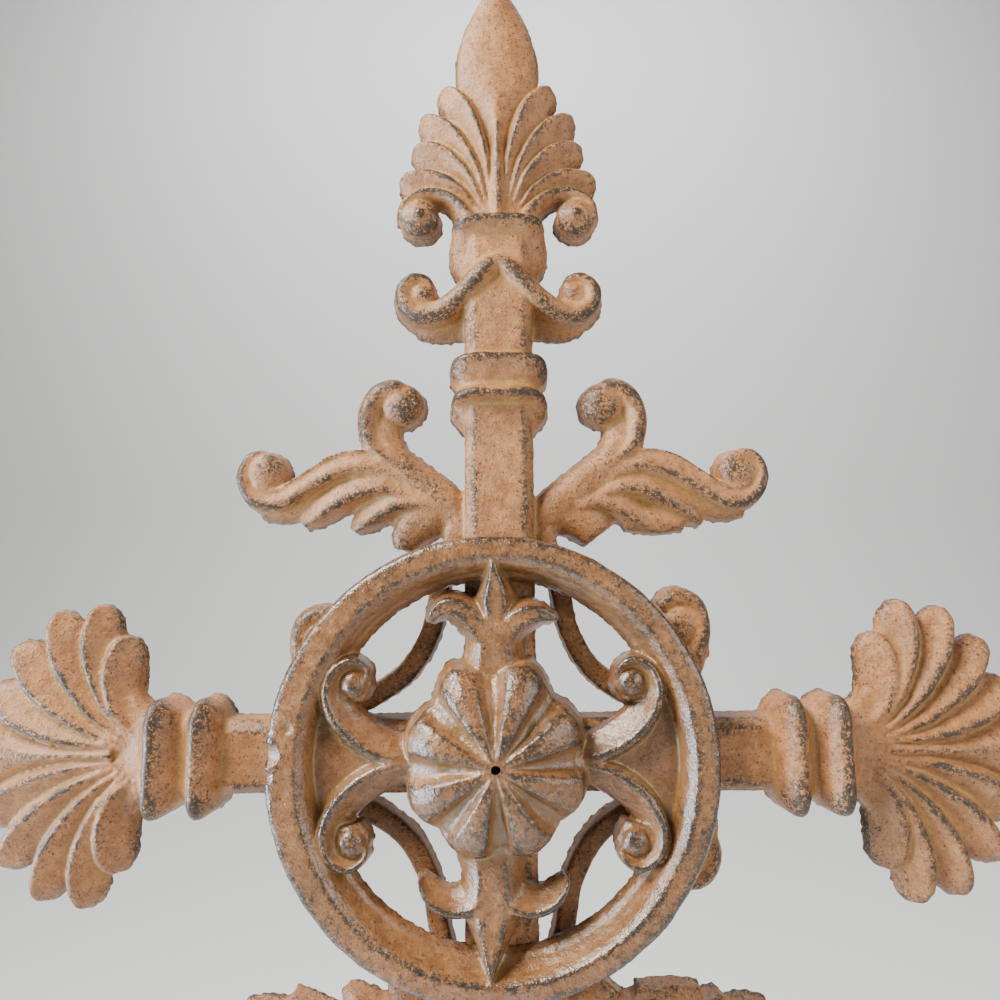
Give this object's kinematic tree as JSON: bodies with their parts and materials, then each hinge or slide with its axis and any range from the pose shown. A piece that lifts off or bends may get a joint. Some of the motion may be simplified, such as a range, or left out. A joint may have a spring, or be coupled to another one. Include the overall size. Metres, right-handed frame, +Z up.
{
  "type": "wall cross",
  "caption": "Cast iron wall cross with beaded collars, leaf sprays, scrolls and palmette ends, and a round medallion with a fluted rosette on its crossing.",
  "frame": {"origin": "centre of the crossing on the flat back, where it rests against the wall", "axes": "+Z up along the long arm to the upper tip, +Y into the wall, +X to the right seen from the front"},
  "size_m": [0.2964, 0.024, 0.469],
  "materials": {
    "cross_iron": "rust-brown antique paint over black, worn dark along the edges, sand-cast grain",
    "medallion_iron": "rust-brown antique paint over black, worn dark along the edges, slightly glossier"
  },
  "bodies": {
    "root": {"cross": "cross_iron", "medallion": "medallion_iron"}
  },
  "joints": []
}
